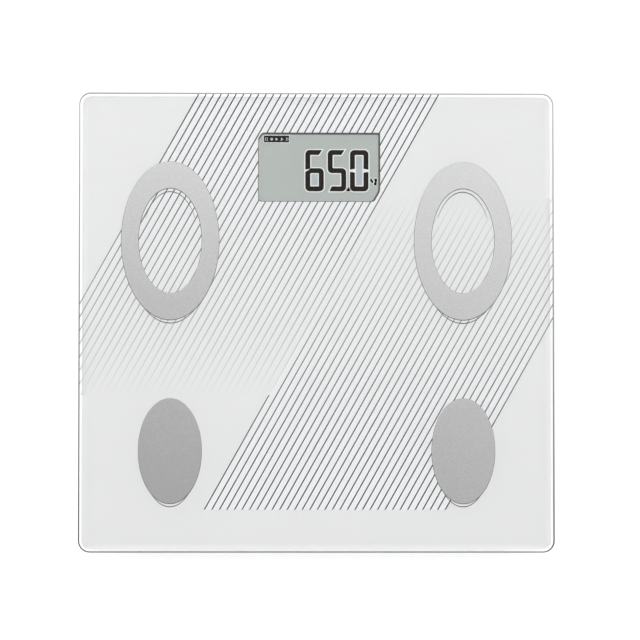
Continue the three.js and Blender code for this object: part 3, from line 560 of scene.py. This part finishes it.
def fillet(corner, before, after, radius, steps=8):
    """Points of an arc that rounds a corner between two unit directions."""
    angle = math.acos(max(-1.0, min(1.0, before.dot(after))))
    if not radius or angle < 1e-4:
        return [tuple(corner)]
    reach = radius * math.tan(angle / 2)
    turn = 1 if before.cross(after) > 0 else -1
    start = corner - before * reach
    centre = start + Vector((-before.y, before.x)) * radius * turn
    from_centre = start - centre
    points = []
    for i in range(steps + 1):
        swing = turn * angle * i / steps
        x = from_centre.x * math.cos(swing) - from_centre.y * math.sin(swing)
        y = from_centre.x * math.sin(swing) + from_centre.y * math.cos(swing)
        points.append((centre.x + x, centre.y + y))
    return points


def rounded_outline(low, high, radius, inset=0.0):
    corners = [(low[0], low[1]), (high[0], low[1]), (high[0], high[1]), (low[0], high[1])]
    return filleted([(x, y, radius) for x, y in corners], -inset)


def ellipse_outline(x, y, width, length, steps=128):
    turns = [2 * math.pi * i / steps for i in range(steps)]
    return [(x + width / 2 * math.cos(a), y + length / 2 * math.sin(a)) for a in turns]


def plate_bmesh(outlines, low, high, edge=0.0, edge_steps=3):
    """A closed plate from z = low to z = high. The first outline is its rim, the others are holes."""
    curve = bpy.data.curves.new("outline", "CURVE")
    curve.dimensions = "2D"
    curve.fill_mode = "BOTH"
    curve.extrude = (high - low) / 2 - edge
    curve.bevel_depth = edge
    curve.bevel_resolution = edge_steps
    curve.offset = -edge
    for points in outlines:
        spline = curve.splines.new("POLY")
        spline.points.add(len(points) - 1)
        for point, (x, y) in zip(spline.points, points):
            point.co = (x, y, 0, 1)
        spline.use_cyclic_u = True
    holder = bpy.data.objects.new("outline", curve)
    bpy.context.scene.collection.objects.link(holder)
    depsgraph = bpy.context.evaluated_depsgraph_get()
    mesh = bpy.data.meshes.new_from_object(holder.evaluated_get(depsgraph))
    bpy.data.objects.remove(holder)
    bpy.data.curves.remove(curve)
    bm = bmesh.new()
    bm.from_mesh(mesh)
    bpy.data.meshes.remove(mesh)
    bmesh.ops.remove_doubles(bm, verts=bm.verts, dist=1e-6)
    bmesh.ops.translate(bm, verts=bm.verts, vec=(0, 0, (low + high) / 2))
    return bm


def turned_bmesh(profile, steps=64, centre=(0, 0)):
    """A closed body of revolution about Z from (radius, z) points that start and end on the axis."""
    bm = bmesh.new()
    rows = []
    for radius, z in profile:
        if radius < 1e-9:
            rows.append([bm.verts.new((centre[0], centre[1], z))])
            continue
        row = []
        for i in range(steps):
            angle = 2 * math.pi * i / steps
            x = centre[0] + radius * math.cos(angle)
            y = centre[1] + radius * math.sin(angle)
            row.append(bm.verts.new((x, y, z)))
        rows.append(row)
    for lower, upper in zip(rows, rows[1:]):
        for i in range(steps):
            corners = [lower[i % len(lower)], lower[(i + 1) % len(lower)]]
            corners += [upper[(i + 1) % len(upper)], upper[i % len(upper)]]
            distinct = list(dict.fromkeys(corners))
            if len(distinct) > 2:
                bm.faces.new(distinct)
    return bm


def soften(obj, width, angle=40, segments=3):
    """Rounds a CAD node's sharp edges without changing its mesh."""
    bevel = obj.modifiers.new("soft_edges", "BEVEL")
    bevel.width = width
    bevel.segments = segments
    bevel.limit_method = "ANGLE"
    bevel.angle_limit = math.radians(angle)
    bevel.use_clamp_overlap = True
    bevel.harden_normals = True


# ---------------------------------------------------------------- platform

def stud_places():
    names = ["toe_electrode_nut_left", "toe_electrode_nut_right",
             "heel_electrode_nut_left", "heel_electrode_nut_right"]
    return [middle(name) for name in names]


def stud_outlines(radius):
    return [ellipse_outline(p.x, p.y, 2 * radius, 2 * radius, 24) for p in stud_places()]


def make_glass(looks):
    """The clear platform. Its ground arrises are the second material of the same solid."""
    outline = rounded_outline(GLASS_LOW, GLASS_HIGH, GLASS_CORNER)
    holes = stud_outlines(STUD_HOLE_RADIUS)
    bm = plate_bmesh([outline, *holes], GLASS_LOW.z, GLASS_HIGH.z, GROUND_EDGE, 3)
    half = (GLASS_HIGH - GLASS_LOW) / 2
    centre = (GLASS_HIGH + GLASS_LOW) / 2
    for face in bm.faces:
        place_at = face.calc_center_median() - centre
        rim = abs(place_at.x) > half.x - 3 * GROUND_EDGE or abs(place_at.y) > half.y - 3 * GROUND_EDGE
        tilted = 0.05 < abs(face.normal.z) < 0.999
        face.material_index = 1 if rim and tilted else 0
    obj = from_bmesh("glass_platform_top", bm)
    place(obj, "base", [looks["glass"], looks["ground_edge"]], ["glass_platform"])


def window_box():
    half = Vector((WINDOW_SIZE[0] / 2, WINDOW_SIZE[1] / 2, 0))
    return WINDOW_MIDDLE - half, WINDOW_MIDDLE + half


def window_corners(left=0.0, right=0.0, front=0.0, back=0.0):
    """The window's corners as (x, y, radius), drawn in by these amounts."""
    low, high = window_box()
    x0, y0 = low.x + left, low.y + front
    x1, y1 = high.x - right, high.y - back
    points = [
        (x0, y0),
        (x1 - WINDOW_SWEEP[0], y0),
        (x1, y0 + WINDOW_SWEEP[1]),
        (x1, y1),
        (x0 + WINDOW_CHAMFER[0], y1),
        (x0, y1 - WINDOW_CHAMFER[1]),
    ]
    return [(x, y, radius) for (x, y), radius in zip(points, WINDOW_RADII)]


def film_outlines(outer):
    return [outer, filleted(window_corners()), *stud_outlines(STUD_HOLE_RADIUS)]


def make_film(looks):
    """The white print on the glass's underside, with the display's window."""
    top = FILM_HIGH.z - FILM_TOP_GAP
    outer = rounded_outline(FILM_LOW, FILM_HIGH, FILM_CORNER)
    bm = plate_bmesh(film_outlines(outer), FILM_LOW.z, top)
    place(from_bmesh("back_print_film", bm), "base", looks["paint"], ["print_film"])


LINE_SQUARE = Vector((math.sin(LINE_ANGLE), -math.cos(LINE_ANGLE), 0))


def cut_line_edges(bm, offsets, width):
    """Splits a flat sheet along both edges of each line at these offsets."""
    for offset in offsets:
        for side in (-0.5, 0.5):
            point = LINE_SQUARE * (offset + side * width)
            geometry = bm.verts[:] + bm.edges[:] + bm.faces[:]
            bmesh.ops.bisect_plane(bm, geom=geometry, plane_co=point, plane_no=LINE_SQUARE, dist=1e-8)


def in_band(face, offsets, width, front, back):
    """True for a face that lies on one of the lines, between the band's ends."""
    centre = face.calc_center_median()
    across = centre.dot(LINE_SQUARE)
    on_line = any(abs(across - offset) < width / 2 for offset in offsets)
    return on_line and front < centre.y < back


def sheet_bmesh(outlines, level):
    """A flat sheet at one level, which is the top face of a plate."""
    bm = plate_bmesh(outlines, level - MM, level)
    others = []
    for face in bm.faces:
        if abs(face.normal.z) < 0.5 or face.calc_center_median().z < level - MM / 2:
            others.append(face)
    bmesh.ops.delete(bm, geom=others, context="FACES")
    return bm


def make_lines(name, look, offsets, width, margin, front, back):
    """One band of parallel printed lines that ends at a margin from the glass's edge and at the
    film's openings."""
    bottom = FILM_HIGH.z - FILM_TOP_GAP
    outer = rounded_outline(GLASS_LOW, GLASS_HIGH, GLASS_CORNER, margin)
    bm = sheet_bmesh(film_outlines(outer), bottom)
    for y in (front, back):
        geometry = bm.verts[:] + bm.edges[:] + bm.faces[:]
        bmesh.ops.bisect_plane(bm, geom=geometry, plane_co=(0, y, 0), plane_no=(0, 1, 0), dist=1e-8)
    cut_line_edges(bm, offsets, width)
    others = [face for face in bm.faces if not in_band(face, offsets, width, front, back)]
    bmesh.ops.delete(bm, geom=others, context="FACES")
    bmesh.ops.dissolve_limit(bm, angle_limit=math.radians(1), verts=bm.verts, edges=bm.edges)
    grown = bmesh.ops.extrude_face_region(bm, geom=bm.faces[:])
    raised = [item for item in grown["geom"] if isinstance(item, bmesh.types.BMVert)]
    bmesh.ops.translate(bm, verts=raised, vec=(0, 0, INK_THICKNESS))
    place(from_bmesh(name, bm), "base", look)


def make_all_lines(looks):
    """Two bands of grey lines that share one line, with whiter print between the lines."""
    upper = [LINE_MIDDLE - LINE_PITCH * i for i in range(UPPER_LINES + 1)]
    lower = [LINE_MIDDLE + LINE_PITCH * i for i in range(1, LOWER_LINES + 1)]
    upper_gaps = [offset + LINE_PITCH / 2 for offset in upper[1:]]
    lower_gaps = [offset - LINE_PITCH / 2 for offset in lower]
    gap = LINE_PITCH - LINE_WIDTH - LINE_CLEARANCE
    upper_ends = (UPPER_FADE[0], GLASS_HIGH.y)
    lower_ends = (LOWER_BAND_FRONT, LOWER_FADE[0])
    shared_ends = (LOWER_BAND_FRONT, UPPER_FADE[0])
    bands = [
        ("printed_lines_upper", "ink_upper", upper, LINE_WIDTH, INK_MARGIN, upper_ends),
        ("printed_lines_lower", "ink_lower", lower, LINE_WIDTH, INK_MARGIN, lower_ends),
        ("printed_line_shared", "ink_lower", [LINE_MIDDLE], LINE_WIDTH, INK_MARGIN, shared_ends),
        ("white_bars_upper", "white_upper", upper_gaps, gap, FILM_MARGIN, upper_ends),
        ("white_bars_lower", "white_lower", lower_gaps, gap, FILM_MARGIN, lower_ends),
    ]
    for name, look, offsets, width, margin, ends in bands:
        make_lines(name, looks[look], offsets, width, margin, *ends)


# ---------------------------------------------------------------- electrodes

def make_shadow_arc(name, x, y, width, length, middle_angle, looks):
    """A thin dark arc under the glass, beside an electrode's front or inner edge: painted shadow of the
    electrode's edge on the print.
    """
    across = width / 2 * ARC_NARROWING
    along = length / 2
    inner, outer = [], []
    steps = 40
    for i in range(steps + 1):
        angle = math.radians(middle_angle - ARC_SWEEP / 2 + ARC_SWEEP * i / steps)
        dx, dy = math.cos(angle), math.sin(angle)
        inner.append((x + across * dx, y - ARC_DROP + ARC_WIDTH / 2 + along * dy))
        outer.append((x + across * dx, y - ARC_DROP - ARC_WIDTH / 2 + along * dy))
    low = FILM_HIGH.z - FILM_TOP_GAP
    bm = plate_bmesh([outer + inner[::-1]], low, low + INK_THICKNESS)
    place(from_bmesh(name, bm), "base", looks["outline"])


def electrode_outlines(kind, x, y, width, length, grow=0.0):
    """A heel pad's rim, or a toe ring's rim and hole, with its metal grown by grow."""
    outlines = [ellipse_outline(x, y, width + 2 * grow, length + 2 * grow)]
    if kind == "toe":
        side, end = TOE_BANDS
        hole = (width - 2 * side - 2 * grow, length - 2 * end - 2 * grow)
        outlines.append(ellipse_outline(x, y, *hole))
    return outlines


def make_electrode(kind, hand, looks):
    """A steel electrode on its adhesive, whose dark rim is partly painted shadow, the painted shadow
    arcs under the glass beside it, and its stud.
    """
    node = f"{kind}_electrode_{hand}"
    low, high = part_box(node)
    x, y = (low.x + high.x) / 2, (low.y + high.y) / 2
    width, length = high.x - low.x, high.y - low.y
    adhesive_and_shadow = electrode_outlines(kind, x, y - ADHESIVE_SHADOW_DROP, width, length, ADHESIVE_AND_SHADOW_SHOWS)
    layer = plate_bmesh(adhesive_and_shadow, GLASS_HIGH.z, GLASS_HIGH.z + ADHESIVE_THICKNESS)
    glue_and_shadow = from_bmesh(f"{kind}_adhesive_{hand}", layer)
    place(glue_and_shadow, "base", looks["adhesive_and_shadow"])
    outlines = electrode_outlines(kind, x, y, width, length)
    plate = plate_bmesh(outlines, GLASS_HIGH.z + ADHESIVE_THICKNESS, high.z, ELECTRODE_EDGE, 2)
    obj = from_bmesh(f"{kind}_plate_{hand}", plate)
    place(obj, "base", looks["electrode"], [node])
    for piece in (glue_and_shadow, obj):  # these thin plates cast no shadow, as under soft studio light; their dark rim and the arcs under the glass are painted shadow in its place
        piece.visible_shadow = False
        piece.visible_transmission = False
    make_shadow_arc(f"{kind}_arc_{hand}", x, y, width, length, 270, looks)
    if kind == "toe":
        side, end = TOE_BANDS
        make_shadow_arc(f"toe_inner_arc_{hand}", x, y, width - 2 * side, length - 2 * end, 90, looks)
    make_stud(kind, hand, low.z, looks)


def make_stud(kind, hand, bottom, looks):
    """The threaded stud that holds an electrode down and carries its current."""
    nut = middle(f"{kind}_electrode_nut_{hand}")
    shank = [(0, bottom), (STUD_RADIUS * 0.8, bottom), (STUD_RADIUS, bottom + 0.4 * MM),
             (STUD_RADIUS, GLASS_HIGH.z), (0, GLASS_HIGH.z)]
    stud = from_bmesh(f"{kind}_stud_{hand}", turned_bmesh(shank, 24, (nut.x, nut.y)))
    place(stud, "base", looks["zinc"])


# ---------------------------------------------------------------- display

def digit_shapes():
    """Loops of the lit digits, of the brighter edge round them and of their inner panes, with
    w, h, s and r for a digit's width, height, stroke and corner."""
    w, h, s, r = DIGIT_WIDTH, DIGIT_HEIGHT, DIGIT_STROKE, DIGIT_CORNER
    mid, half, fine = h / 2, s / 2, 0.4 * MM
    split, lean = 0.7 * MM, 1.25 * MM  # half of the gap at mid height, at the outer and inner edge
    free = 1.1 * MM  # slant of a bar's free end
    upper_hook = [(0, mid + split, 0), (s, mid + lean, 0), (s, h - s, fine), (w - s, h - s, 0),
                  (w - free, h, 0), (0, h, r)]
    lower_box = [(0, 0, r), (w, 0, r), (w, mid + half, r), (s * 1.1, mid + half, fine),
                 (half, mid, 0), (0, mid - split, 0)]
    six_edge = [(0, 0, r), (w, 0, r), (w, mid + half, r), (s, mid + half, fine), (s, h - s, fine),
                (w - s, h - s, 0), (w - free, h, 0), (0, h, r)]
    box_hole = [(s, s, fine), (s, mid - half, fine), (w - s, mid - half, fine), (w - s, s, fine)]
    five = [(free, 0, 0), (w, 0, r), (w, mid + half, r), (s, mid + half, fine), (s, h - s, fine),
            (w - s, h - s, 0), (w - free, h, 0), (0, h, r), (0, mid - half, r),
            (w - s, mid - half, fine), (w - s, s, fine), (s * 0.8, s, 0)]
    zero_top = [(0, mid + split, 0), (s, mid + lean, 0), (s, h - s, fine), (w - s, h - s, fine),
                (w - s, mid + lean, 0), (w, mid + split, 0), (w, h, r), (0, h, r)]
    zero_foot = [(x, h - y, radius) for x, y, radius in reversed(zero_top)]
    zero_edge = [(0, 0, r), (w, 0, r), (w, h, r), (0, h, r)]
    zero_hole = [(s, s, fine), (s, h - s, fine), (w - s, h - s, fine), (w - s, s, fine)]
    lit = [(SIX_LEFT, [upper_hook]), (SIX_LEFT, [lower_box, box_hole]), (FIVE_LEFT, [five]),
           (ZERO_LEFT, [zero_top]), (ZERO_LEFT, [zero_foot])]
    edges = [(SIX_LEFT, [six_edge, box_hole]), (FIVE_LEFT, [five]), (ZERO_LEFT, [zero_edge, zero_hole])]
    panes = [(SIX_LEFT, [box_hole[::-1]]), (ZERO_LEFT, [zero_hole[::-1]])]
    return lit, edges, panes


def placed_loops(shapes, grow=0.0):
    """Each shape's loops, moved to its place on the display and grown."""
    placed = []
    for left, loops in shapes:
        moved = [[(x + left, y + DIGIT_FRONT, r) for x, y, r in loop] for loop in loops]
        placed.append([filleted(loop, grow) for loop in moved])
    return placed


def marks_loop(corners, radius):
    """A loop of corners with one radius, from millimetres."""
    return [(x * MM, y * MM, radius * MM) for x, y in corners]


def box_loop(x, y, width, length, radius=0.3):
    """A small rounded block, in millimetres, by its front left corner on the display."""
    return marks_loop([(x, y), (x + width, y), (x + width, y + length), (x, y + length)], radius)


def small_marks(grow=0.0):
    """The decimal point, a row of plain legend blocks and a small mark beside the digits."""
    loops = [marks_loop(DECIMAL_POINT, 0.15)]
    for i in range(len(LEGEND_KINDS)):
        loops.append(box_loop(LEGEND_LEFT + LEGEND_PITCH * i, LEGEND_FRONT, *LEGEND_BLOCK))
    loops += [marks_loop(SIDE_TICK, 0.1), marks_loop(SIDE_HOOK, 0.1)]
    return [[filleted(loop, grow)] for loop in loops]


def legend_cuts():
    """Light shapes inside the legend blocks: bars, a disc, an arrow and a bowl."""
    cuts = []
    for i, kind in enumerate(LEGEND_KINDS):
        x = LEGEND_LEFT + LEGEND_PITCH * i
        y = LEGEND_FRONT
        if kind == "bars":
            cuts += [box_loop(x + left, y + 0.9, 0.5, 2.3, 0.1) for left in (0.9, 2.0)]
        if kind == "disc":
            cuts.append(box_loop(x + 0.8, y + 1.1, 1.8, 1.9, 0.85))
        if kind == "bowl":
            cuts.append(box_loop(x + 0.6, y + 1.3, 1.6, 1.5, 0.7))
        if kind == "arrow":
            arrow = [(x + 0.9, y + 0.8), (x + 2.7, y + 2.0), (x + 0.9, y + 3.3)]
            cuts.append(marks_loop(arrow, 0.1))
    return [[filleted(loop)] for loop in cuts]


def lcd_layer(name, shapes, level, look, looks):
    """Thin plates on the display panel, on one of its layers."""
    low = LCD_HIGH.z + level * LCD_LAYER_STEP
    whole = bmesh.new()
    for loops in shapes:
        part = plate_bmesh(loops, low, low + LCD_LAYER)
        mesh = bpy.data.meshes.new("part")
        part.to_mesh(mesh)
        part.free()
        whole.from_mesh(mesh)
        bpy.data.meshes.remove(mesh)
    place(from_bmesh(name, whole), "base", looks[look])


def make_display(looks):
    outline = rounded_outline(LCD_LOW, LCD_HIGH, LCD_CORNER)
    panel = plate_bmesh([outline], LCD_LOW.z, LCD_HIGH.z, LCD_EDGE, 2)
    place(from_bmesh("lcd_glass_panel", panel), "base", looks["lcd"], ["lcd_panel"])
    lit, edges, panes = digit_shapes()
    edge_shapes = placed_loops(edges, HALO) + small_marks(HALO * 0.5)
    lcd_layer("lcd_segment_edges", edge_shapes, 1, "lcd_glow", looks)
    lcd_layer("lcd_digit_panes", placed_loops(panes, -HALO), 1, "lcd_pane", looks)
    lcd_layer("lcd_segments", placed_loops(lit) + small_marks(), 2, "segment", looks)
    lcd_layer("lcd_legend_cuts", legend_cuts(), 3, "lcd", looks)
    make_gasket(looks)


def make_gasket(looks):
    """The dark foam frame between the film's window and the panel, shown wider at the right and back as
    painted shadow of the window's recess.
    """
    low, high = window_box()
    left, right, front, back = GASKET_AND_SHADOW_SHOWS
    inner = filleted(window_corners(left, right, front, back))
    reach = Vector((*GASKET_OVERLAP, 0))
    outer = rounded_outline(low - reach, high + reach, GASKET_CORNER)
    bottom, top = LCD_HIGH.z + GASKET_ABOVE_LCD, FILM_LOW.z - GASKET_BELOW_FILM
    ring = plate_bmesh([outer, inner], bottom, top)
    place(from_bmesh("window_gasket", ring), "base", looks["gasket_and_shadow"])


# ---------------------------------------------------------------- carried-over CAD nodes

def paint_node(node, material, width=0.0, angle=40):
    """Gives a CAD node its material and, where width is set, rounded edges."""
    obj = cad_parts[node]
    obj.data.materials.clear()
    obj.data.materials.append(material)
    if width:
        soften(obj, width, angle)


def dress_cad_nodes(looks):
    paint_node("base_housing", looks["abs"], 0.5 * MM, 30)
    paint_node("edge_tape", looks["tape"])
    paint_node("battery_door", looks["abs"], 0.25 * MM)
    paint_node("unit_button", looks["smooth_abs"], 0.2 * MM)
    paint_node("unit_switch", looks["black"], 0.2 * MM)
    paint_node("unit_switch_plunger", looks["black"], 0.15 * MM)
    paint_node("lcd_frame", looks["abs"], 0.2 * MM)
    paint_node("circuit_board", looks["board"])
    paint_node("main_chip", looks["black"], 0.2 * MM)
    paint_node("zebra_strip", looks["black"], 0.1 * MM)
    paint_node("lead_connector", looks["connector"], 0.2 * MM)
    for corner in ("front_left", "front_right", "back_left", "back_right"):
        paint_node(f"foot_{corner}", looks["abs"], 0.3 * MM)
        paint_node(f"foot_pad_{corner}", looks["rubber"], 0.2 * MM)
        paint_node(f"load_cell_{corner}", looks["load_cell"], 0.15 * MM)
        paint_node(f"load_cell_holder_{corner}", looks["abs"], 0.3 * MM)
        paint_node(f"load_cell_lead_{corner}", looks["lead_red"])
    for hand in ("left", "right"):
        for kind in ("toe", "heel"):
            paint_node(f"{kind}_electrode_nut_{hand}", looks["zinc"], 0.2 * MM)
            paint_node(f"{kind}_electrode_lead_{hand}", looks["lead_black"])
    for name in ("contact_plus", "contact_minus", "link_left_back", "link_left_front", "link_right"):
        paint_node(f"battery_{name}", looks["spring"])
    for number in (1, 2, 3, 4):
        sleeve = "sleeve_plus_right" if number in (1, 3) else "sleeve_plus_left"
        paint_node(f"battery_{number}", looks[sleeve], 0.2 * MM)
        paint_node(f"board_screw_{number}", looks["zinc"], 0.15 * MM)


# ---------------------------------------------------------------- scene

def main():
    scene = bpy.context.scene
    scene.view_settings.view_transform = "Standard"
    make_camera()
    make_world()
    area_light("key", **KEY_LAMP)
    area_light("fill", **FILL_LAMP)
    make_floor()
    looks = make_looks()
    make_glass(looks)
    make_film(looks)
    make_all_lines(looks)
    for hand in ("left", "right"):
        make_electrode("toe", hand, looks)
        make_electrode("heel", hand, looks)
    make_display(looks)
    dress_cad_nodes(looks)


main()

bpy.context.view_layer.update()
